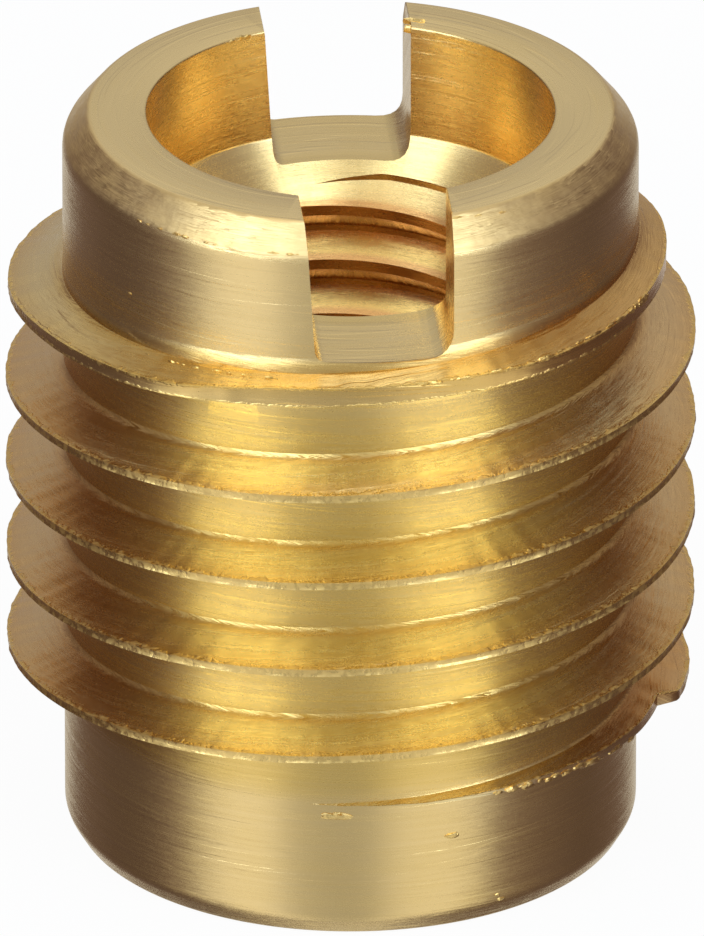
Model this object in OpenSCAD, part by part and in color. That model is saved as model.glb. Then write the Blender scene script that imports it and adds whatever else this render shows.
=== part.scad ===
// Screw-in threaded insert for wood, turned from one piece of brass rod.
// A coarse knife-edged ridge outside cuts its own thread in a plain drilled hole, and a
// metric machine thread inside takes a screw. A slot across the top takes the driver.
// Millimetres. The origin is the centre of the plain end, and +Z points to the slotted end.

/* [Body] */
// Length from the plain end to the slotted end
length = 13; // [9.5:0.1:30]
// Diameter of the neck, of the pilot and of the body between the ridge's turns
body_d = 9.6; // [8.4:0.1:11]
// Radial width of the chamfer round the slotted end
top_chamfer_w = 0.42; // [0.1:0.02:0.7]
// Height of the chamfer round the slotted end
top_chamfer_h = 0.5; // [0.1:0.05:1]
// Radial width of the chamfer round the plain end
pilot_chamfer_w = 0.2; // [0.1:0.02:0.6]
// Height of the chamfer round the plain end
pilot_chamfer_h = 0.34; // [0.1:0.02:1]

/* [Wood thread] */
// Height of the ridge above the body
ridge_h = 0.95; // [0.3:0.05:2]
// Rise of the ridge in one turn
ridge_pitch = 1.6; // [1:0.05:3]
// Width of the ridge where it leaves the body
ridge_foot_w = 0.64; // [0.4:0.02:0.9]
// Width of the narrow land along the ridge's crest
ridge_crest_w = 0.16; // [0.06:0.02:0.3]
// Length of plain pilot below the middle of the ridge's first point
pilot_h = 2.2; // [1:0.1:4]
// Length of plain neck above the middle of the ridge's last point
neck_h = 2; // [1:0.1:4]
// Direction in which the ridge starts, counter-clockwise from +X
ridge_start_angle = -96; // [-180:6:180]
// Turns over which the ridge rises out of the pilot
ridge_run_in = 0.25; // [0.1:0.05:1]
// Turns over which the ridge fades into the neck
ridge_run_out = 0.7; // [0.1:0.05:1.5]

/* [Machine thread] */
// Diameter of the hole that the machine thread is tapped in, 5 for M6 x 1
tapping_d = 5; // [3.3:0.1:5.4]
// Diameter of the countersink at the plain end
mouth_d = 6.2; // [5.6:0.1:7.2]
// Angle of the countersink at the plain end, from side to side
mouth_angle = 90; // [60:5:120]

/* [Counterbore] */
// Diameter of the smooth counterbore at the slotted end
counterbore_d = 6.8; // [5.8:0.1:7.2]
// Depth of the counterbore's straight wall
counterbore_depth = 2; // [1:0.05:3.5]
// Angle of the drill point that leaves the cone below it, from side to side
drill_point_angle = 90; // [90:1:140]

/* [Drive slot] */
// Width of the slot
slot_w = 2.4; // [1.2:0.1:3]
// Depth of the slot below the slotted end
slot_depth = 2.4; // [1:0.1:3.5]
// Radius in the corners of the slot's floor
slot_corner_r = 0.35; // [0.1:0.05:0.5]
// Distance of the slot's middle from the axis
slot_shift = 0.1; // [0:0.05:0.3]

/* [Hidden] */

// Facets round one turn of the ridge, and round the true circles
RIDGE_STEPS = 60;
ROUND_FN = 96;
// How far the ridge's foot reaches into the body, and how far its ends sink in
FOOT_SINK = 0.3;
END_SINK = 0.04;
// Overrun of a cut past the face that it leaves
CUT = 0.5;
BRASS = [0.80, 0.64, 0.31];

body_r = body_d / 2;
ridge_r = body_r + ridge_h;
ridge_foot_r = body_r - FOOT_SINK;
ridge_z = pilot_h;
ridge_turns = (length - pilot_h - neck_h) / ridge_pitch;
ridge_rings = ceil(ridge_turns * RIDGE_STEPS);
// Half the ridge's width is gained over this much of it for each millimetre inwards
flank_slope = (ridge_foot_w - ridge_crest_w) / 2 / ridge_h;

counterbore_r = counterbore_d / 2;
drill_point_h = counterbore_r / tan(drill_point_angle / 2);
mouth_cone_h = mouth_d / 2 / tan(mouth_angle / 2);
slot_floor_z = length - slot_depth;

// Share of its full height that the ridge has after this many turns
function ridge_share(turns) =
    min(1, turns / ridge_run_in, (ridge_turns - turns) / ridge_run_out);

// Radius of the crest: the ridge is turned down towards both ends
function crest_r(turns) =
    body_r - END_SINK + (ridge_h + END_SINK) * ridge_share(turns);

// Half the width of the ridge at a radius
function half_width(r) = ridge_crest_w / 2 + (ridge_r - r) * flank_slope;

// Point of the ridge at a radius, this many turns along and this far above its middle
function ridge_point(turns, r, rise) =
    let (angle = ridge_start_angle + 360 * turns)
    [r * cos(angle), r * sin(angle), ridge_z + ridge_pitch * turns + rise];

// Section of the ridge: lower foot, lower and upper edge of the crest, upper foot
function ridge_ring(turns) =
    let (top = crest_r(turns), foot = ridge_foot_r)
    [
        ridge_point(turns, foot, -half_width(foot)),
        ridge_point(turns, top, -half_width(top)),
        ridge_point(turns, top, half_width(top)),
        ridge_point(turns, foot, half_width(foot)),
    ];

// The knife-edged ridge, swept along its right-handed helix
module wood_thread() {
    side = 4;
    points = [
        for (i = [0 : ridge_rings])
            each ridge_ring(ridge_turns * i / ridge_rings)
    ];
    walls = [
        for (i = [0 : ridge_rings - 1], j = [0 : side - 1])
            let (
                here = i * side + j,
                next = i * side + (j + 1) % side
            )
            each [[here, next, here + side], [next, next + side, here + side]]
    ];
    last = ridge_rings * side;
    ends = [
        [0, 2, 1], [0, 3, 2],
        [last, last + 1, last + 2], [last, last + 2, last + 3],
    ];
    polyhedron(points, concat(walls, ends));
}

// The turned blank, chamfered at both ends
module blank() {
    rotate_extrude($fn = ROUND_FN)
        polygon([
            [0, 0],
            [body_r - pilot_chamfer_w, 0],
            [body_r, pilot_chamfer_h],
            [body_r, length - top_chamfer_h],
            [body_r - top_chamfer_w, length],
            [0, length],
        ]);
}

// Everything that the drills take out: counterbore, its cone, tapping hole, countersink
module drilled_hole() {
    cone_top = length - counterbore_depth;
    translate([0, 0, cone_top])
        cylinder(r = counterbore_r, h = counterbore_depth + CUT, $fn = ROUND_FN);
    translate([0, 0, cone_top - drill_point_h])
        cylinder(r1 = 0, r2 = counterbore_r, h = drill_point_h, $fn = ROUND_FN);
    translate([0, 0, -CUT])
        cylinder(d = tapping_d, h = cone_top + CUT, $fn = ROUND_FN);
    cylinder(d1 = mouth_d, d2 = 0, h = mouth_cone_h, $fn = ROUND_FN);
}

// Outline of the slot's cutter, with its floor at zero height
module slot_outline() {
    corner_x = slot_w / 2 - slot_corner_r;
    translate([-slot_w / 2, slot_corner_r])
        square([slot_w, slot_depth + CUT - slot_corner_r]);
    translate([-corner_x, 0])
        square([2 * corner_x, slot_corner_r + CUT / 2]);
    for (side = [-1, 1])
        translate([side * corner_x, slot_corner_r])
            circle(r = slot_corner_r, $fn = ROUND_FN);
}

// The driver's slot, sawn right across the top
module drive_slot() {
    translate([slot_shift, 0, slot_floor_z])
        rotate([90, 0, 0])
            linear_extrude(height = 2 * (ridge_r + CUT), center = true)
                slot_outline();
}

module insert() {
    color(BRASS)
        difference() {
            union() {
                blank();
                wood_thread();
            }
            drilled_hole();
            drive_slot();
        }
}

insert();
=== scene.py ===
"""A brass screw-in threaded insert for wood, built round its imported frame.

The body is turned as one closed ring. A helical rib is added outside for the wood thread,
the same rib cuts the machine thread inside, and a saw slot crosses the top.
"""
import math

import bmesh
import bpy
from bpy.props import FloatProperty, FloatVectorProperty, IntProperty, PointerProperty
from mathutils import Matrix, Vector
from mathutils.noise import random_unit_vector, seed_set


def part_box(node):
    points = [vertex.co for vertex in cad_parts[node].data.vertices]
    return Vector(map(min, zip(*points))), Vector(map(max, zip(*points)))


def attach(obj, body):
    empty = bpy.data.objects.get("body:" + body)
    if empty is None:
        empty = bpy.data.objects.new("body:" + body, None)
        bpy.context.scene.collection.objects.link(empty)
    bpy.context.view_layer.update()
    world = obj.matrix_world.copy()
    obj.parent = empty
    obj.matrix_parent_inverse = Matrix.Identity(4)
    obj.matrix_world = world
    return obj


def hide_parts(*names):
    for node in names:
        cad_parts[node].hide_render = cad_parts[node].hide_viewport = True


bl_info = {
    "name": "Threaded insert",
    "version": (1, 0, 0),
    "blender": (4, 5, 0),
    "location": "View3D > Sidebar > Insert",
    "description": "Builds a turned brass threaded insert for wood, with its studio",
    "category": "Object",
}

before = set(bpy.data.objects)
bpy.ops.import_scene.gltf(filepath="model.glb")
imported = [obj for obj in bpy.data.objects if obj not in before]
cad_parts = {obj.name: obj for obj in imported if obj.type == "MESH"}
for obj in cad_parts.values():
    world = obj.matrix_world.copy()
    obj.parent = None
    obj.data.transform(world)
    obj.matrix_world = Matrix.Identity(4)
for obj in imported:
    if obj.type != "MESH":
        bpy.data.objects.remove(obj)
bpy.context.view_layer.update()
LOW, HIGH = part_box("insert")

MM = 0.001

# Steps round one turn of the body, the wood thread, the machine thread and the pilot's ring
BODY_STEPS = 384
RIDGE_STEPS = 400
GROOVE_STEPS = 160
RING_STEPS = 96

# Chamfers at the slotted end and the plain end, as radial width and height
TOP_CHAMFER = (0.42 * MM, 0.5 * MM)
PILOT_CHAMFER = (0.2 * MM, 0.34 * MM)
# Countersink at the plain end, as radius and depth
MOUTH = (3.1 * MM, 0.6 * MM)

# Turns are counted from +X, counter-clockwise from above. The wood thread's first turn, how
# many it has, and the height of its middle at turn 0
RIDGE_START_TURN = -0.34
RIDGE_TURNS = 5.57
RIDGE_MIDDLE = 2.623 * MM

# The low shoulder above the wood thread's last turn: how far it stands out and how far it
# lies above the thread's middle, its widths at foot and crest, its first turn and its turns
SHOULDER_HEIGHT = 0.08 * MM
SHOULDER_RISE = 0.26 * MM
SHOULDER_FOOT = 0.6 * MM
SHOULDER_CREST = 0.1 * MM
SHOULDER_START_TURN = 4.44
SHOULDER_TURNS = 0.6

# The machine thread: its first turn, its turns, the height of its middle at its last whole
# turn, and its widths at the bore and at its root in shares of the pitch
TAP_START_TURN = 0.2
TAP_TURNS = 11.2
TAP_LAST_TURN = 11
TAP_LAST_MIDDLE = 10.22 * MM
TAP_FOOT_SHARE = 0.82
TAP_ROOT_SHARE = 0.1

# How far the outer ribs' roots lie inside the body, so that they join it
BITE = 0.01 * MM


# ---------------------------------------------------------------- node trees


class Socket:
    """An output of a node. Python's operators on it add Math nodes."""

    def __init__(self, graph, output):
        self.graph = graph
        self.output = output

    def math(self, operation, *values):
        return self.graph.math(operation, self, *values)

    def __add__(self, other):
        return self.graph.math("ADD", self, other)

    def __radd__(self, other):
        return self.graph.math("ADD", other, self)

    def __sub__(self, other):
        return self.graph.math("SUBTRACT", self, other)

    def __rsub__(self, other):
        return self.graph.math("SUBTRACT", other, self)

    def __mul__(self, other):
        return self.graph.math("MULTIPLY", self, other)

    def __rmul__(self, other):
        return self.graph.math("MULTIPLY", other, self)

    def __truediv__(self, other):
        return self.graph.math("DIVIDE", self, other)

    def __pow__(self, other):
        return self.graph.math("POWER", self, other)

    def __neg__(self):
        return self.graph.math("MULTIPLY", self, -1.0)


class Graph:
    """Adds nodes to one node tree, in either editor."""

    def __init__(self, tree):
        self.tree = tree

    def node(self, kind, settings=None, inputs=None, output=0):
        """Add a node, set it up, then set or link its inputs; return one of its outputs."""
        node = self.tree.nodes.new(kind)
        settings = dict(settings or {})
        curve = settings.pop("curve", None)
        handles = settings.pop("handles", "VECTOR")
        for name, value in settings.items():
            setattr(node, name, value)
        if curve:
            set_curve(node.mapping, curve, handles)
        for key, value in (inputs or {}).items():
            if isinstance(value, Socket):
                self.tree.links.new(value.output, node.inputs[key])
            else:
                node.inputs[key].default_value = value
        return Socket(self, node.outputs[output])

    def math(self, operation, *values):
        return self.node("ShaderNodeMath", {"operation": operation}, dict(enumerate(values)))

    def ramp_up(self, value, start, end, smooth=False):
        """0 at start and 1 at end, which may be the lower one, and level beyond them."""
        settings = {"interpolation_type": "SMOOTHSTEP" if smooth else "LINEAR"}
        return self.node("ShaderNodeMapRange", settings, {0: value, 1: start, 2: end})

    def curve(self, value, points, handles="VECTOR"):
        """A line through points, which are pairs from 0 to 1: broken, or smooth with AUTO."""
        return self.node(
            "ShaderNodeFloatCurve", {"curve": points, "handles": handles}, {"Value": value})

    def vector(self, x, y, z):
        return self.node("ShaderNodeCombineXYZ", None, {"X": x, "Y": y, "Z": z})

    def split(self, vector):
        """The x, y and z of a vector."""
        parts = self.node("ShaderNodeSeparateXYZ", None, {0: vector}).output.node
        return [Socket(self, part) for part in parts.outputs]

    def mix_vectors(self, operation, *values):
        return self.node("ShaderNodeVectorMath", {"operation": operation}, dict(enumerate(values)))

    def scaled(self, vector, factor):
        return self.node(
            "ShaderNodeVectorMath", {"operation": "SCALE"}, {0: vector, "Scale": factor})

    def noise(self, place, scale, detail=2.0, rough=0.5):
        return self.node(
            "ShaderNodeTexNoise",
            {"noise_dimensions": "3D"},
            {"Vector": place, "Scale": scale, "Detail": detail, "Roughness": rough},
        )

    def blend(self, share, first, second):
        """Mix two colours."""
        return self.node(
            "ShaderNodeMix",
            {"data_type": "RGBA", "blend_type": "MIX", "clamp_factor": True},
            {"Factor": share, 6: first, 7: second},
            output=2,
        )


def set_curve(mapping, points, handles):
    curve = mapping.curves[0]
    while len(curve.points) < len(points):
        curve.points.new(0.5, 0.5)
    for point, place in zip(curve.points, points):
        point.location = place
        point.handle_type = handles
    mapping.update()


# ---------------------------------------------------------------- sizes and colours


class InsertSizes(bpy.types.PropertyGroup):
    """Sizes that are turned, tapped and sawn. Defaults come from the frame where it gives them."""

    length: FloatProperty(
        name="Length", description="From the plain end to the slotted end",
        default=HIGH.z - LOW.z, unit="LENGTH", precision=5)
    body_radius: FloatProperty(
        name="Body radius", description="Radius of neck, pilot and the wall between the ridges",
        default=4.8 * MM, unit="LENGTH", precision=5)
    ridge_radius: FloatProperty(
        name="Ridge radius", description="Radius of the wood thread's crest",
        default=HIGH.y, unit="LENGTH", precision=5)
    ridge_pitch: FloatProperty(
        name="Ridge pitch", description="Rise of the wood thread in one turn",
        default=1.6 * MM, unit="LENGTH", precision=5)
    ridge_foot: FloatProperty(
        name="Ridge foot", description="Width of the wood thread where it leaves the body",
        default=0.64 * MM, unit="LENGTH", precision=5)
    ridge_crest: FloatProperty(
        name="Ridge crest", description="Width of the land along the wood thread's crest",
        default=0.13 * MM, unit="LENGTH", precision=5)
    shoulder: FloatProperty(
        name="Shoulder", description="Height to which the pilot is turned plain",
        default=2.47 * MM, unit="LENGTH", precision=5)
    bore_radius: FloatProperty(
        name="Bore radius", description="Radius of the tapping hole",
        default=2.5 * MM, unit="LENGTH", precision=5)
    tap_radius: FloatProperty(
        name="Tap radius", description="Radius at the root of the machine thread",
        default=2.9 * MM, unit="LENGTH", precision=5)
    tap_pitch: FloatProperty(
        name="Tap pitch", description="Rise of the machine thread in one turn",
        default=1.0 * MM, unit="LENGTH", precision=5)
    counterbore_radius: FloatProperty(
        name="Counterbore radius", description="Radius of the smooth hole at the slotted end",
        default=3.4 * MM, unit="LENGTH", precision=5)
    counterbore_depth: FloatProperty(
        name="Counterbore depth", description="Depth of the smooth hole's straight wall",
        default=2.0 * MM, unit="LENGTH", precision=5)
    slot_depth: FloatProperty(
        name="Slot depth", description="Depth of the driver's slot",
        default=2.35 * MM, unit="LENGTH", precision=5)
    slot_left: FloatProperty(
        name="Slot left wall", description="Place of the slot's left wall at the top",
        default=-1.15 * MM, unit="LENGTH", precision=5)
    slot_right: FloatProperty(
        name="Slot right wall", description="Place of the slot's right wall",
        default=1.3 * MM, unit="LENGTH", precision=5)
    slot_lean: FloatProperty(
        name="Slot lean", description="How far the left wall leans in on its way down",
        default=0.14 * MM, unit="LENGTH", precision=5)
    burr: FloatProperty(
        name="Burr", description="Height of the burr along the wood thread's crest",
        default=0.045 * MM, unit="LENGTH", precision=6)
    seed: IntProperty(
        name="Seed", description="Choice of burrs and nicks",
        default=7)


class BrassFinish(bpy.types.PropertyGroup):
    """Colours and texture of the turned brass."""

    brass: FloatVectorProperty(
        name="Brass", description="Clean brass",
        subtype="COLOR", size=4, min=0.0, max=1.0, default=(0.90, 0.68, 0.32, 1.0))
    warm: FloatVectorProperty(
        name="Warm brass", description="Deeper brass in the threads, in the bore and on torn edges",
        subtype="COLOR", size=4, min=0.0, max=1.0, default=(0.84, 0.585, 0.17, 1.0))
    # Painted highlight: this pale brass on the middle of the wood thread's flanks paints the pale
    # tone of their highlights
    pale_highlight: FloatVectorProperty(
        name="Pale brass", description="Brighter brass half way up the wood thread's flanks",
        subtype="COLOR", size=4, min=0.0, max=1.0, default=(0.94, 0.83, 0.48, 1.0))
    # Patina also paints shade at both sides of the wood thread and an orange reflection on the
    # right of its shoulder
    patina: FloatVectorProperty(
        name="Patina", description="Dark brass in the machine thread and on tarnished faces",
        subtype="COLOR", size=4, min=0.0, max=1.0, default=(0.68, 0.37, 0.13, 1.0))
    roughness: FloatProperty(
        name="Roughness", description="Roughness of the turned faces",
        subtype="FACTOR", min=0.0, max=1.0, default=0.26)
    line_slope: FloatProperty(
        name="Line slope", description="Slope of the finest turning lines",
        min=0.0, default=0.4)
    line_depth: FloatProperty(
        name="Turning lines", description="Depth of the turning lines",
        default=0.002 * MM, unit="LENGTH", precision=7)


class StudioLight(bpy.types.PropertyGroup):
    """Levels of the studio."""

    key: FloatProperty(
        name="Key", description="Brightness of the left softbox, where 1 is white",
        min=0.0, default=2.3)
    fill: FloatProperty(
        name="Fill", description="Brightness of the right softbox, where 1 is white",
        min=0.0, default=2.3)
    overhead: FloatProperty(
        name="Overhead", description="Brightness added straight above, where 1 is white",
        min=0.0, default=1.2)


# ---------------------------------------------------------------- mesh helpers


def add_object(name, data):
    thing = bpy.data.objects.new(name, data)
    bpy.context.scene.collection.objects.link(thing)
    return thing


def mesh_from(name, points, faces):
    mesh = bpy.data.meshes.new(name)
    mesh.from_pydata(points, [], faces)
    mesh.validate()
    return mesh


def faced_outwards(mesh):
    """Merge doubles and turn every face of a closed mesh outwards."""
    shell = bmesh.new()
    shell.from_mesh(mesh)
    bmesh.ops.remove_doubles(shell, verts=shell.verts, dist=1e-7)
    bmesh.ops.recalc_face_normals(shell, faces=shell.faces)
    shell.to_mesh(mesh)
    shell.free()
    return mesh


def eased(corners, steps=4):
    """A closed outline of (r, z, ease) corners, each rounded off over its ease."""
    outline = []
    count = len(corners)
    for index, (r, z, ease) in enumerate(corners):
        here = Vector((r, z))
        if not ease:
            outline.append(here)
            continue
        before = Vector(corners[index - 1][:2])
        after = Vector(corners[(index + 1) % count][:2])
        first = here + (before - here).normalized() * ease
        last = here + (after - here).normalized() * ease
        for step in range(steps + 1):
            share = step / steps
            outline.append(
                first * (1 - share) ** 2 + here * 2 * share * (1 - share) + last * share ** 2)
    return outline


def turned(name, outline, steps):
    """A closed ring: an outline of (r, z) points turned round the axis."""
    points = []
    faces = []
    count = len(outline)
    for step in range(steps):
        angle = 2 * math.pi * step / steps
        for r, z in outline:
            points.append((r * math.cos(angle), r * math.sin(angle), z))
    for step in range(steps):
        here = step * count
        there = (step + 1) % steps * count
        for index in range(count):
            after = (index + 1) % count
            faces.append((here + index, there + index, there + after, here + after))
    return faced_outwards(mesh_from(name, points, faces))


def drawn(name, outline, half_length):
    """A closed bar: an outline of (x, z) points drawn out along Y."""
    count = len(outline)
    points = [(x, -half_length, z) for x, z in outline]
    points += [(x, half_length, z) for x, z in outline]
    faces = [tuple(range(count)), tuple(range(2 * count - 1, count - 1, -1))]
    for index in range(count):
        after = (index + 1) % count
        faces.append((index, index + count, after + count, after))
    return faced_outwards(mesh_from(name, points, faces))


def evaluated_mesh(thing):
    """The mesh that an object's modifiers make, as a plain mesh."""
    depsgraph = bpy.context.evaluated_depsgraph_get()
    return bpy.data.meshes.new_from_object(thing.evaluated_get(depsgraph), depsgraph=depsgraph)


def machined(target, tool, operation):
    """Add a tool's solid to the target, or cut it away, and delete the tool."""
    step = target.modifiers.new("machining", "BOOLEAN")
    step.operation = operation
    step.solver = "MANIFOLD"
    step.object = tool
    mesh = evaluated_mesh(target)
    target.modifiers.remove(step)
    used = target.data
    target.data = mesh
    bpy.data.meshes.remove(used)
    bpy.data.objects.remove(tool)
    if not mesh.polygons:
        raise RuntimeError(f"{operation} left nothing of {target.name}")


def shown(name):
    """The object of this name, or a plain error."""
    if name not in bpy.data.objects:
        raise RuntimeError(f"{name} has not been made yet")
    return bpy.data.objects[name]


# ---------------------------------------------------------------- helical rib

# Shares of its full height that a worn rib has over its first turn, where it begins as a
# stepped wedge, and over its last turn, read backwards
RUN_IN = (
    (0.0, 0.0), (0.08, 0.06), (0.12, 0.15), (0.16, 0.22), (0.2, 0.3), (0.23, 0.4),
    (0.262, 0.48), (0.293, 0.48), (0.3, 0.8), (0.33, 0.93), (0.42, 0.97), (0.55, 1.0),
    (1.0, 1.0),
)
RUN_OUT = (
    (0.0, 0.0), (0.12, 0.06), (0.19, 0.16), (0.22, 0.38), (0.245, 0.48), (0.32, 0.6),
    (0.37, 0.65), (0.42, 0.57), (0.46, 0.46), (0.52, 0.43), (0.56, 0.55), (0.6, 0.73),
    (0.66, 0.76), (0.76, 0.97), (1.0, 1.0),
)

# Turns over which a rib that isn't worn rises at each end, and over which any rib closes
PLAIN_RISE = 0.2
CLOSING = 0.01
# Tears in the crest for each turn of the rib, coarse and fine
COARSE_TEARS = 26.0
FINE_TEARS = 110.0
# Points across a rib: eight steps on each side of its middle
RIB_POINTS = 17
RIB_INPUTS = {
    "NodeSocketFloat": (
        "Root radius", "Crest radius", "Foot width", "Crest width", "Fillet", "Sink", "Pitch",
        "Middle at turn 0", "First turn", "Turns", "Burr", "Wear",
    ),
    "NodeSocketInt": ("Seed", "Steps"),
    "NodeSocketMaterial": ("Material",),
}


def rib_tree():
    """A rib wound round the axis: a wood thread or its shoulder outside, a tap's cut inside."""
    tree = bpy.data.node_groups.get("Helical rib")
    if tree:
        return tree
    tree = bpy.data.node_groups.new("Helical rib", "GeometryNodeTree")
    tree.interface.new_socket("Geometry", in_out="OUTPUT", socket_type="NodeSocketGeometry")
    for kind, names in RIB_INPUTS.items():
        for name in names:
            tree.interface.new_socket(name, in_out="INPUT", socket_type=kind)
    graph = Graph(tree)
    entry = tree.nodes.new("NodeGroupInput")
    given = {socket.name: Socket(graph, socket) for socket in entry.outputs if socket.name}

    grid = graph.node("GeometryNodeMeshGrid", None, {
        "Size X": 1.0, "Size Y": 2.0, "Vertices X": given["Steps"], "Vertices Y": RIB_POINTS})
    place = graph.node("GeometryNodeInputPosition")
    along, across, _ = graph.split(place)
    along = along + 0.5
    side = across.math("SIGN")
    out = across.math("ABSOLUTE")
    # Eighths of the way from the crest's middle to the foot's middle
    on_crest = graph.ramp_up(out, 0.0, 2 / 8)
    on_flank = graph.curve(out, (
        (0.0, 0.0), (2 / 8, 0.0), (3 / 8, 0.5), (4 / 8, 0.88), (5 / 8, 0.95), (6 / 8, 1.0),
        (1.0, 1.0)))
    on_fillet = graph.curve(out, (
        (0.0, 0.0), (4 / 8, 0.0), (5 / 8, 0.3), (6 / 8, 1.0), (1.0, 1.0)))
    on_sink = graph.ramp_up(out, 6 / 8, 7 / 8)
    on_foot = graph.ramp_up(out, 7 / 8, 1.0)

    turn = along * given["Turns"]
    # Height left by the tool at both ends, in shares of the full height
    run_in = graph.curve(turn.math("MINIMUM", 1.0), RUN_IN)
    left = given["Turns"] - turn
    run_out = graph.curve(left.math("MINIMUM", 1.0), RUN_OUT, "AUTO")
    worn = run_in.math("MINIMUM", run_out)
    plain = graph.ramp_up(turn, 0.0, PLAIN_RISE) * graph.ramp_up(left, 0.0, PLAIN_RISE)
    share = plain + (worn - plain) * given["Wear"]
    closing = graph.ramp_up(turn, 0.0, CLOSING) * graph.ramp_up(left, 0.0, CLOSING)

    # Torn edge of the crest, on a line that runs with the helix
    line = graph.vector(turn * COARSE_TEARS, side * 3.7, given["Seed"] * 1.7)
    torn = graph.noise(line, 1.0, 3.0, 0.6) - 0.5
    line = graph.vector(turn * FINE_TEARS, side * 2.3, given["Seed"] * 1.3)
    fine = graph.noise(line, 1.0, 2.0) - 0.5
    corner = graph.ramp_up(on_crest, 0.45, 1.0) * (1.0 - on_flank) ** 6.0
    lip = (torn * 1.2 + fine * 1.1 + 0.25).math("MAXIMUM", -0.35) * given["Burr"] * corner
    sway = (torn + fine) * given["Burr"] * 0.9 * (1.0 - on_flank)

    height = given["Crest radius"] - given["Root radius"]
    half_foot = given["Foot width"] * 0.5
    half_crest = half_foot - (half_foot - given["Crest width"] * 0.5) * share ** 0.6
    half = half_crest * on_crest + (half_foot - half_crest) * on_flank
    half = half + given["Fillet"] * on_fillet
    rise = side * half * (1.0 - on_foot) * closing + sway * closing
    radius = given["Root radius"] + height * share * (1.0 - on_flank) + lip * share
    radius = radius - given["Sink"] * (on_sink * closing + 1.0 - closing)
    angle = (turn + given["First turn"]) * (2 * math.pi)
    middle = given["Middle at turn 0"] + (turn + given["First turn"]) * given["Pitch"]
    spot = graph.vector(
        radius * angle.math("COSINE"), radius * angle.math("SINE"), middle + rise)
    edge = (share + (1.0 - share) * on_crest ** 3.0) * given["Burr"].math("SIGN")
    marked = graph.node("GeometryNodeStoreNamedAttribute", {"data_type": "FLOAT"}, {
        "Geometry": grid, "Name": "torn", "Value": graph.ramp_up(out, 3 / 8, 2 / 8) * edge})
    wound = graph.node("GeometryNodeSetPosition", None, {"Geometry": marked, "Position": spot})
    closed = graph.node("GeometryNodeMergeByDistance", None, {"Geometry": wound, "Distance": 1e-7})
    real = graph.node("GeometryNodeRealizeInstances", None, {"Geometry": closed})
    brass = graph.node("GeometryNodeSetMaterial", None, {
        "Geometry": real, "Material": given["Material"]})
    leave = tree.nodes.new("NodeGroupOutput")
    tree.links.new(brass.output, leave.inputs["Geometry"])
    return tree


def wind_rib(name, sizes):
    """Evaluate the helical rib with these sizes and return a plain object."""
    rib = add_object(name, bpy.data.meshes.new(name))
    winding = rib.modifiers.new("winding", "NODES")
    winding.node_group = rib_tree()
    for socket in winding.node_group.interface.items_tree:
        if socket.in_out == "INPUT" and socket.name in sizes:
            winding[socket.identifier] = sizes[socket.name]
    rib.data.update_tag()
    mesh = evaluated_mesh(rib)
    rib.modifiers.remove(winding)
    rib.data = faced_outwards(mesh)
    return rib


# ---------------------------------------------------------------- pieces


class INSERT_OT_turn_body(bpy.types.Operator):
    """Turn the body, with its chamfers, bore, drill cone and counterbore"""

    bl_idname = "insert.turn_body"
    bl_label = "Turn the body"

    def execute(self, context):
        sizes = context.scene.insert_sizes
        outer = sizes.body_radius
        top = sizes.length
        wide = sizes.counterbore_radius
        bore = sizes.bore_radius
        mouth, mouth_depth = MOUTH
        pilot_width, pilot_height = PILOT_CHAMFER
        top_width, top_height = TOP_CHAMFER
        cone_top = top - sizes.counterbore_depth
        cone_low = cone_top - (wide - bore)
        # Rings up the wall keep its shading even where the ridge and the slot cut it
        rings = 24
        wall = [(outer, top * (ring + 1.5) / (rings + 2), 0.0) for ring in range(rings)]
        # Each corner's last number is how far it is eased along both of its sides
        corners = [
            (mouth, 0.0, 0.04 * MM),
            (outer - pilot_width, 0.0, 0.06 * MM),
            (outer, pilot_height, 0.1 * MM),
            *wall,
            (outer, top - top_height, 0.14 * MM),
            (outer - top_width, top, 0.06 * MM),
            (wide, top, 0.04 * MM),
            (wide, cone_top, 0.03 * MM),
            (bore, cone_low, 0.03 * MM),
            (bore, mouth_depth, 0.03 * MM),
        ]
        add_object("turned_insert", turned("turned_insert", eased(corners), BODY_STEPS))
        return {"FINISHED"}


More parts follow.
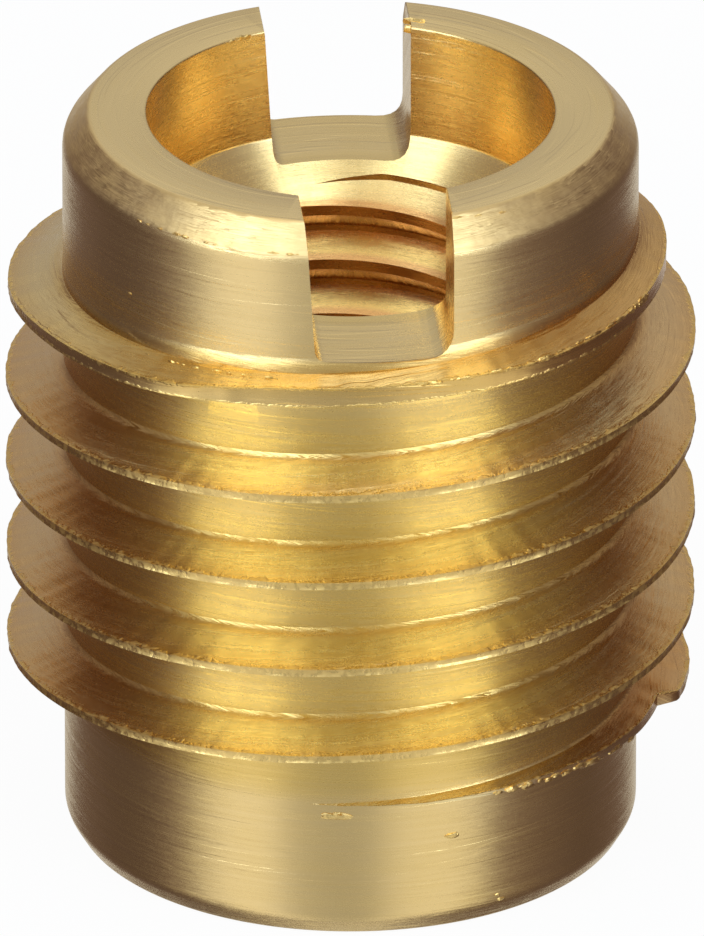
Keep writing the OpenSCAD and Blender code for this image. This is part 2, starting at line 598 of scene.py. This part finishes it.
class INSERT_OT_cut_wood_thread(bpy.types.Operator):
    """Wind the knife-edged wood thread round the body, and the low shoulder above its end"""

    bl_idname = "insert.cut_wood_thread"
    bl_label = "Cut the wood thread"

    def execute(self, context):
        sizes = context.scene.insert_sizes
        insert = shown("turned_insert")
        ridge = wind_rib("wood_ridge", {
            "Root radius": sizes.body_radius - BITE,
            "Crest radius": sizes.ridge_radius,
            "Foot width": sizes.ridge_foot,
            "Crest width": sizes.ridge_crest,
            "Fillet": 0.07 * MM,
            "Sink": 0.1 * MM,
            "Pitch": sizes.ridge_pitch,
            "Middle at turn 0": RIDGE_MIDDLE,
            "First turn": RIDGE_START_TURN,
            "Turns": RIDGE_TURNS,
            "Burr": sizes.burr,
            "Wear": 1.0,
            "Seed": sizes.seed,
            "Steps": int(RIDGE_TURNS * RIDGE_STEPS),
        })
        # A ring round the pilot turns the ridge away below the shoulder, on a slight slope
        inside = 4.5 * MM
        outside = 7.0 * MM
        low = 1.0 * MM
        slope = 0.02 * MM
        pilot = [
            (inside, low),
            (outside, low),
            (outside, sizes.shoulder + slope),
            (inside, sizes.shoulder),
        ]
        ring = add_object("pilot_ring", turned("pilot_ring", pilot, RING_STEPS))
        machined(ridge, ring, "DIFFERENCE")
        machined(insert, ridge, "UNION")
        shoulder = wind_rib("low_shoulder", {
            "Root radius": sizes.body_radius - BITE,
            "Crest radius": sizes.body_radius + SHOULDER_HEIGHT,
            "Foot width": SHOULDER_FOOT,
            "Crest width": SHOULDER_CREST,
            "Fillet": 0.06 * MM,
            "Sink": 0.05 * MM,
            "Pitch": sizes.ridge_pitch,
            "Middle at turn 0": RIDGE_MIDDLE + SHOULDER_RISE,
            "First turn": SHOULDER_START_TURN,
            "Turns": SHOULDER_TURNS,
            "Burr": 0.0,
            "Wear": 0.0,
            "Seed": 0,
            "Steps": int(SHOULDER_TURNS * RIDGE_STEPS),
        })
        machined(insert, shoulder, "UNION")
        return {"FINISHED"}


class INSERT_OT_tap_bore(bpy.types.Operator):
    """Tap the machine thread in the bore"""

    bl_idname = "insert.tap_bore"
    bl_label = "Tap the bore"

    def execute(self, context):
        sizes = context.scene.insert_sizes
        tap = wind_rib("tap", {
            "Root radius": sizes.bore_radius,
            "Crest radius": sizes.tap_radius,
            "Foot width": sizes.tap_pitch * TAP_FOOT_SHARE,
            "Crest width": sizes.tap_pitch * TAP_ROOT_SHARE,
            "Fillet": 0.0,
            "Sink": 0.1 * MM,
            "Pitch": sizes.tap_pitch,
            "Middle at turn 0": TAP_LAST_MIDDLE - TAP_LAST_TURN * sizes.tap_pitch,
            "First turn": TAP_START_TURN,
            "Turns": TAP_TURNS,
            "Burr": 0.0,
            "Wear": 0.0,
            "Seed": 0,
            "Steps": int(TAP_TURNS * GROOVE_STEPS),
        })
        machined(shown("turned_insert"), tap, "DIFFERENCE")
        return {"FINISHED"}


class INSERT_OT_saw_slot(bpy.types.Operator):
    """Saw the driver's slot across the top"""

    bl_idname = "insert.saw_slot"
    bl_label = "Saw the drive slot"

    def execute(self, context):
        sizes = context.scene.insert_sizes
        top = sizes.length
        floor = top - sizes.slot_depth
        left = sizes.slot_left
        right = sizes.slot_right
        # The cutter flares from just below the top, which breaks the slot's edges
        edge = top - 0.01 * MM
        flare = 1.0 * MM
        reach = 8 * MM
        corners = [
            (left + sizes.slot_lean, floor, 0.18 * MM),
            (right, floor, 0.45 * MM),
            (right, edge, 0.05 * MM),
            (right + flare, edge + flare, 0.0),
            (left - flare, edge + flare, 0.0),
            (left, edge, 0.05 * MM),
        ]
        saw = add_object("saw", drawn("saw", eased(corners, 6), reach))
        machined(shown("turned_insert"), saw, "DIFFERENCE")
        return {"FINISHED"}


# ---------------------------------------------------------------- burrs

# Rows of torn metal, in millimetres: the first and the last place of a row as (degrees from
# the front, radius, height), how many flakes, and how big they are
BURR_ROWS = (
    ((-52, 4.78, 12.50), (-33, 4.77, 12.53), 7, 0.03),
    ((-23, 4.76, 12.53), (-16, 4.75, 12.55), 5, 0.03),
    ((17, 4.42, 12.96), (31, 4.50, 12.86), 8, 0.025),
    ((22, 4.62, 12.68), (37, 4.76, 12.50), 7, 0.03),
    ((-55.5, 4.80, 11.09), (-55, 4.80, 11.09), 1, 0.06),
    ((-48, 5.00, 10.26), (-17, 5.02, 10.40), 16, 0.03),
    ((-10, 4.80, 2.28), (-7, 4.80, 2.27), 3, 0.075),
    ((8, 5.24, 10.39), (30, 5.37, 10.47), 14, 0.045),
    ((30, 5.38, 10.47), (62, 5.37, 10.60), 18, 0.07),
    ((22, 4.99, 2.48), (43, 5.09, 2.48), 14, 0.06),
    ((43, 5.09, 2.48), (61, 5.22, 2.48), 12, 0.075),
    ((14, 4.80, 1.75), (16, 4.80, 1.76), 3, 0.05),
    ((25.5, 4.80, 0.46), (26.5, 4.79, 0.38), 3, 0.05),
    ((157.5, 3.75, 12.98), (156.5, 3.42, 12.90), 4, 0.09),
    ((204, 3.41, 12.97), (210, 3.41, 12.97), 4, 0.06),
)
# A flake's thickness, length round the axis and height, in shares of its size
FLAKE = (0.45, 1.9, 0.7)


def add_burrs(shell, seed):
    """Sink small torn flakes into the surface, and mark them as torn."""
    torn = shell.verts.layers.float["torn"]
    seed_set(seed)
    for first, last, count, size in BURR_ROWS:
        for index in range(count):
            # Flakes stray along their row and off it, and differ in size
            jitter = random_unit_vector()
            share = (index + 0.5 + jitter.x * 0.8) / count
            turn, radius, height = (a + (b - a) * share for a, b in zip(first, last))
            spin = Matrix.Rotation(math.radians(turn - 90), 3, "Z")
            spot = spin @ Vector((radius, 0.0, height + jitter.y * size * 0.4))
            big = size * (0.35 + 1.0 * abs(jitter.z))
            made = bmesh.ops.create_icosphere(shell, subdivisions=2, radius=big * MM)
            for vert in made["verts"]:
                ragged = vert.co * (1.0 + 0.3 * random_unit_vector().x)
                flake = Vector(side * share for side, share in zip(ragged, FLAKE))
                vert.co = spin @ flake + spot * MM
                vert[torn] = 1.0


# ---------------------------------------------------------------- brass


def brass_material(finish):
    """Turned brass: lines round the axis, tarnish in the threads, warm torn edges, and painted
    shade and highlights on the wood thread.
    """
    material = bpy.data.materials.new("turned_brass")
    material.use_nodes = True
    tree = material.node_tree
    graph = Graph(tree)
    shader = tree.nodes["Principled BSDF"]

    # Every length below is in millimetres
    place = graph.scaled(graph.node("ShaderNodeTexCoord", output=3), 1 / MM)
    x, y, z = graph.split(place)
    r = (x * x + y * y).math("SQRT")
    # Turning lines: much finer across the tool's path than along it
    across = z + r * 0.9
    coarse = graph.noise(graph.vector(x / r * 1.6, y / r * 1.6, across * 17.0), 1.0, 3.0, 0.6)
    fine = graph.noise(graph.vector(x / r * 3.0, y / r * 3.0, across * 110.0), 1.0, 1.0)
    grain = graph.noise(place, 14.0, 3.0, 0.6)
    dents = graph.noise(place, 3.5, 3.0, 0.55)
    scored = graph.noise(graph.vector(x / r * 0.8, y / r * 0.8, across * 4.5), 1.0, 1.0)
    scored = graph.ramp_up(scored, 0.6, 0.63) + graph.ramp_up(scored, 0.38, 0.41)
    cloud = graph.noise(place, 0.55, 3.0, 0.55)
    beads = graph.noise(place, 8.0, 2.0, 0.6)

    # Where the surface lies, from 0 to 1
    in_bore = 1.0 - graph.ramp_up(r, 3.2, 3.5, True)
    in_thread = graph.ramp_up(z, 2.4, 2.9, True) * (1.0 - graph.ramp_up(z, 9.5, 10.2, True))
    marked = graph.node("ShaderNodeAttribute", {"attribute_name": "torn"}, output=2)
    on_crest = graph.ramp_up(marked + (beads - 0.5) * 0.5, 0.82, 0.94, True)
    on_chamfer = graph.ramp_up(z, 12.45, 12.55, True) * graph.ramp_up(r, 4.3, 4.4, True)
    on_right = graph.ramp_up(x / r, 0.3, 0.65)
    on_ridge = graph.ramp_up(r, 4.81, 4.88) * (1.0 - in_bore)
    on_shoulder = graph.ramp_up(r, 4.805, 4.84) * (1.0 - in_bore) * graph.ramp_up(z, 9.7, 10.1)
    first_turn = on_ridge * (1.0 - graph.ramp_up(z, 3.1, 3.6))
    in_groove = (1.0 - graph.ramp_up(r, 2.95, 3.05)) * (1.0 - graph.ramp_up(z, 10.1, 10.3))
    in_groove = in_groove * (0.35 + graph.ramp_up(r, 2.62, 2.52) + graph.ramp_up(r, 2.78, 2.88))
    on_flank = on_ridge * (1.0 - marked) * (1.0 - graph.ramp_up(z, 9.8, 10.3))
    near_edge = graph.ramp_up(r, 5.02, 4.85) + graph.ramp_up(r, 5.6, 5.75)

    # Warmer in the threads, on the shoulder and high in the bore, in clouds and lines
    warmth = in_bore * 0.45 + in_thread * (1.0 - on_ridge) * 0.6 + on_flank * near_edge * 0.3
    warmth = warmth + graph.ramp_up(z, 11.6, 10.6, True) * (1.0 - in_bore) * 0.2
    warmth = warmth + on_shoulder * 0.6 + on_chamfer * 0.15
    warmth = warmth + in_bore * graph.ramp_up(z, 10.9, 11.1) * 0.3
    warmth = warmth + (cloud - 0.5) * 0.6 + (coarse - 0.5) * 0.5
    warmth = warmth.math("MAXIMUM", 0.0).math("MINIMUM", 1.0)
    colour = graph.blend(warmth, list(finish.brass), list(finish.warm))
    # Painted highlight: the middle of each flank turns to pale brass, which paints the pale tone of
    # its highlight
    colour = graph.blend(on_flank * (1.0 - near_edge), colour, list(finish.pale_highlight))
    # Painted shade: darker at both sides of the thread, more so on the ridge
    shaded = in_thread * graph.ramp_up(x.math("ABSOLUTE") / r, 0.6, 0.95, True)
    shaded = shaded * (0.45 + on_ridge * 0.3)
    # Darker where the thread ends, and on the right where it begins and ends. On the right of the
    # shoulder this patina paints an orange reflection. The chamfer is a little darker too, which
    # dims its glint.
    patina_and_orange_reflection = on_shoulder * (0.25 + on_right * 0.5) + first_turn * on_right * 0.4
    patina_and_orange_reflection = patina_and_orange_reflection + on_chamfer * 0.15
    colour = graph.blend(in_groove + shaded + patina_and_orange_reflection, colour, list(finish.patina))
    torn = on_crest * graph.ramp_up(beads, 0.46, 0.58)
    colour = graph.blend(on_crest * 0.5, colour, list(finish.warm))

    rough = finish.roughness + (coarse - 0.5) * 0.2 + (grain - 0.5) * 0.1 + torn * 0.2
    rough = (rough + on_chamfer * (0.15 + (dents - 0.5) * 0.25)).math("MAXIMUM", 0.1)
    relief = (coarse + grain * 0.1 + scored * 1.2) * (1.0 - in_bore * 0.9)
    relief = relief + beads * on_crest * 6.0 + dents * on_chamfer * 3.5
    relief = relief + (coarse + scored) * on_shoulder * 3.0

    # The finest lines only tip the face up and down across the tool's path
    facing = graph.node("ShaderNodeNewGeometry", output=1)
    upward = graph.split(facing)[2]
    faced = graph.ramp_up(upward, 0.9, 0.97) * (1.0 - graph.ramp_up(r, 4.7, 4.8))
    path = graph.mix_vectors("NORMALIZE", graph.vector(-y, x, 0.0))
    tip = graph.mix_vectors("CROSS_PRODUCT", facing, path)
    slope = ((fine * 8.0).math("FRACT") - 0.5) * finish.line_slope
    slope = slope * (1.0 - faced * 0.85) * (1.0 - in_bore * 0.7)
    tipped = graph.mix_vectors("ADD", facing, graph.scaled(tip, slope))
    tipped = graph.mix_vectors("NORMALIZE", tipped)
    bump = graph.node("ShaderNodeBump", None, {
        "Strength": 1.0, "Distance": finish.line_depth, "Height": relief, "Normal": tipped})

    tree.links.new(colour.output, shader.inputs["Base Color"])
    tree.links.new(rough.output, shader.inputs["Roughness"])
    tree.links.new(bump.output, shader.inputs["Normal"])
    shader.inputs["Metallic"].default_value = 1.0
    return material


class INSERT_OT_finish_brass(bpy.types.Operator):
    """Shade the insert, give it its brass and hang it on the frame"""

    bl_idname = "insert.finish_brass"
    bl_label = "Finish the brass"

    def execute(self, context):
        insert = shown("turned_insert")
        mesh = insert.data
        shell = bmesh.new()
        shell.from_mesh(mesh)
        # The cuts leave slivers, which go before the mesh is tested
        bmesh.ops.remove_doubles(shell, verts=shell.verts, dist=2e-7)
        bmesh.ops.dissolve_degenerate(shell, edges=shell.edges, dist=1e-7)
        if any(len(edge.link_faces) != 2 for edge in shell.edges):
            raise RuntimeError("the insert's mesh is not closed")
        add_burrs(shell, context.scene.insert_sizes.seed)
        shell.to_mesh(mesh)
        shell.free()
        mesh.shade_smooth()
        mesh.set_sharp_from_angle(angle=math.radians(28))
        mesh.materials.clear()
        mesh.materials.append(brass_material(context.scene.insert_finish))
        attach(insert, "root")
        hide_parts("insert")
        return {"FINISHED"}


# ---------------------------------------------------------------- stage

# The camera's degrees from the front and above the floor, and its distance and focal length
# in millimetres
CAMERA_AZIMUTH = -5.2
CAMERA_ELEVATION = 25.85
CAMERA_DISTANCE = 505
CAMERA_LENS = 1161.0
# Height at which the softboxes aim, half way up the insert
MIDDLE_HEIGHT = 6.5 * MM


def round_front(levels):
    """Levels by degrees from the front, as a curve's points. Each curve holds half the level."""
    return [((degrees + 180) / 360, level / 2) for degrees, level in levels]


# Brightness round the tent's wall, by degrees from the front, with the left negative
TENT = round_front((
    (-180, 0.36), (-160, 0.44), (-145, 0.14), (-110, 0.08), (-85, 0.09), (-69, 0.28),
    (-60, 0.8), (-50, 0.95), (-32, 0.92), (-26, 0.56), (-8, 0.45), (8, 0.45), (16, 0.7),
    (24, 0.85), (46, 0.9), (54, 0.75), (60, 0.24), (76, 0.14), (110, 0.08), (145, 0.14),
    (160, 0.44), (180, 0.36),
))
# Brightness of its roof
ROOF = round_front((
    (-180, 0.85), (-145, 0.46), (-115, 0.38), (-85, 0.34), (-60, 0.45), (0, 0.5), (60, 0.4),
    (85, 0.32), (115, 0.38), (145, 0.46), (180, 0.85),
))
# Cool tone of the softboxes
LAMP_TONE = (0.86, 1.02, 1.25)
# Warm tone of the tent's dark parts, and the tone of its lit ones
DARK_TONE = (1.15, 0.82, 0.86, 1.0)
WHITE = (1.0, 1.0, 1.0, 1.0)


def toward(azimuth, elevation):
    """Unit vector at an azimuth round the object, seen from the front, and an elevation."""
    turn = math.radians(azimuth)
    lift = math.radians(elevation)
    return Vector((
        math.sin(turn) * math.cos(lift), -math.cos(turn) * math.cos(lift), math.sin(lift)))


def aimed(thing, place, target):
    thing.matrix_world = (
        Matrix.Translation(place) @ (place - target).to_track_quat("Z", "Y").to_matrix().to_4x4())


def softbox(name, azimuth, low, high, width, level, distance=0.3):
    """A soft light over a span of azimuth and elevation, as bright as level, where 1 is white."""
    target = Vector((0.0, 0.0, MIDDLE_HEIGHT))
    light = bpy.data.lights.new(name, "AREA")
    light.shape = "RECTANGLE"
    light.size = 2 * distance * math.tan(math.radians(width / 2))
    light.size_y = 2 * distance * math.tan(math.radians((high - low) / 2))
    light.energy = level * math.pi * light.size * light.size_y
    light.color = LAMP_TONE
    place = target + toward(azimuth, (low + high) / 2) * distance
    aimed(add_object(name, light), place, target)


class INSERT_OT_build_stage(bpy.types.Operator):
    """Set up the floor, the softboxes, the room and the camera"""

    bl_idname = "insert.build_stage"
    bl_label = "Build the stage"

    def execute(self, context):
        studio = context.scene.insert_studio
        build_floor()
        build_room(studio)
        softbox("key_softbox", -52.0, 12.0, 62.0, 36.0, studio.key)
        softbox("fill_softbox", 33.0, 12.0, 62.0, 32.0, studio.fill)
        aim_camera(context.scene)
        return {"FINISHED"}


def build_floor():
    """Pale paper, white to the camera but for the insert's shadow, and unseen by the brass."""
    half = 1.5
    points = [(-half, -half, 0.0), (half, -half, 0.0), (half, half, 0.0), (-half, half, 0.0)]
    floor = add_object("floor", mesh_from("floor", points, [(0, 1, 2, 3)]))
    floor.location.z = -0.01 * MM
    material = bpy.data.materials.new("floor_paper")
    material.use_nodes = True
    tree = material.node_tree
    graph = Graph(tree)
    paper = tree.nodes["Principled BSDF"]
    paper.inputs["Base Color"].default_value = (0.8, 0.8, 0.8, 1.0)
    paper.inputs["Roughness"].default_value = 0.9
    white = graph.node("ShaderNodeEmission", None, {"Strength": 1.0})
    seen = graph.node("ShaderNodeLightPath")
    surface = graph.node("ShaderNodeMixShader", None, {
        0: seen * 0.95, 1: Socket(graph, paper.outputs[0]), 2: white})
    tree.links.new(surface.output, tree.nodes["Material Output"].inputs["Surface"])
    floor.data.materials.append(material)
    floor.visible_glossy = False


def build_room(studio):
    """A white room to the camera. Metal mirrors a tent with two tall lights and dark sides."""
    world = bpy.data.worlds.new("room")
    bpy.context.scene.world = world
    world.use_nodes = True
    tree = world.node_tree
    graph = Graph(tree)
    toward_sky = graph.node("ShaderNodeTexCoord", output=0)
    x, y, z = graph.split(toward_sky)
    # Round the horizon from the back, by the left, the front and the right: 0 to 1
    front = math.radians(-CAMERA_AZIMUTH)
    ahead = x * math.sin(-front) - y * math.cos(front)
    aside = x * math.cos(front) - y * math.sin(front)
    bearing = aside.math("ARCTAN2", ahead) / (2 * math.pi) + 0.5
    tent = graph.curve(bearing, TENT) * 2.0
    roof = graph.curve(bearing, ROOF) * 2.0
    # The tent's back is brighter from just above the horizon down
    behind = graph.ramp_up((bearing - 0.5).math("ABSOLUTE"), 0.41, 0.46, True)
    tent = tent + behind * graph.ramp_up(z, 0.1, -0.3) * 0.3
    high = graph.ramp_up(z, 0.2, 0.75, True)
    level = tent + (roof - tent) * high + graph.ramp_up(z, 0.9, 0.99, True) * studio.overhead
    seen = graph.node("ShaderNodeLightPath")
    tone = graph.blend(graph.ramp_up(level, 0.1, 0.45), DARK_TONE, WHITE)
    tone = graph.blend(seen, tone, WHITE)
    strength = level + seen * (1.0 - level)
    tree.links.new(tone.output, tree.nodes["Background"].inputs["Color"])
    tree.links.new(strength.output, tree.nodes["Background"].inputs["Strength"])


def aim_camera(scene):
    """A long lens, half a metre away, a little left of the front."""
    back = toward(CAMERA_AZIMUTH, CAMERA_ELEVATION)
    right = toward(CAMERA_AZIMUTH + 90.0, 0.0)
    up = back.cross(right)
    # The object stands a little off the middle of the frame
    target = Vector((0.0, 0.0, 6.467 * MM)) + right * 0.025 * MM - up * 0.077 * MM
    lens = bpy.data.cameras.new("camera")
    lens.sensor_fit = "AUTO"
    lens.sensor_width = 36.0
    lens.lens = CAMERA_LENS
    lens.clip_start = 0.05
    lens.clip_end = 10.0
    camera = add_object("camera", lens)
    aimed(camera, target + back * CAMERA_DISTANCE * MM, target)
    scene.camera = camera
    scene.view_settings.view_transform = "Standard"


# ---------------------------------------------------------------- panel and main


class INSERT_PT_workshop(bpy.types.Panel):
    """The steps that make the insert, in order"""

    bl_idname = "INSERT_PT_workshop"
    bl_label = "Threaded insert"
    bl_space_type = "VIEW_3D"
    bl_region_type = "UI"
    bl_category = "Insert"

    def draw(self, context):
        layout = self.layout
        for step in STEPS:
            layout.operator(step.bl_idname)
        for group in ("insert_sizes", "insert_finish", "insert_studio"):
            box = layout.box()
            settings = getattr(context.scene, group)
            for name in settings.__annotations__:
                box.prop(settings, name)


GROUPS = (InsertSizes, BrassFinish, StudioLight)
STEPS = (
    INSERT_OT_turn_body,
    INSERT_OT_cut_wood_thread,
    INSERT_OT_tap_bore,
    INSERT_OT_saw_slot,
    INSERT_OT_finish_brass,
    INSERT_OT_build_stage,
)


def register():
    for kind in (*GROUPS, *STEPS, INSERT_PT_workshop):
        bpy.utils.register_class(kind)
    bpy.types.Scene.insert_sizes = PointerProperty(type=InsertSizes)
    bpy.types.Scene.insert_finish = PointerProperty(type=BrassFinish)
    bpy.types.Scene.insert_studio = PointerProperty(type=StudioLight)


def unregister():
    del bpy.types.Scene.insert_studio
    del bpy.types.Scene.insert_finish
    del bpy.types.Scene.insert_sizes
    for kind in reversed((*GROUPS, *STEPS, INSERT_PT_workshop)):
        bpy.utils.unregister_class(kind)


def main():
    register()
    bpy.ops.insert.turn_body()
    bpy.ops.insert.cut_wood_thread()
    bpy.ops.insert.tap_bore()
    bpy.ops.insert.saw_slot()
    bpy.ops.insert.finish_brass()
    bpy.ops.insert.build_stage()


if __name__ == "__main__":
    main()
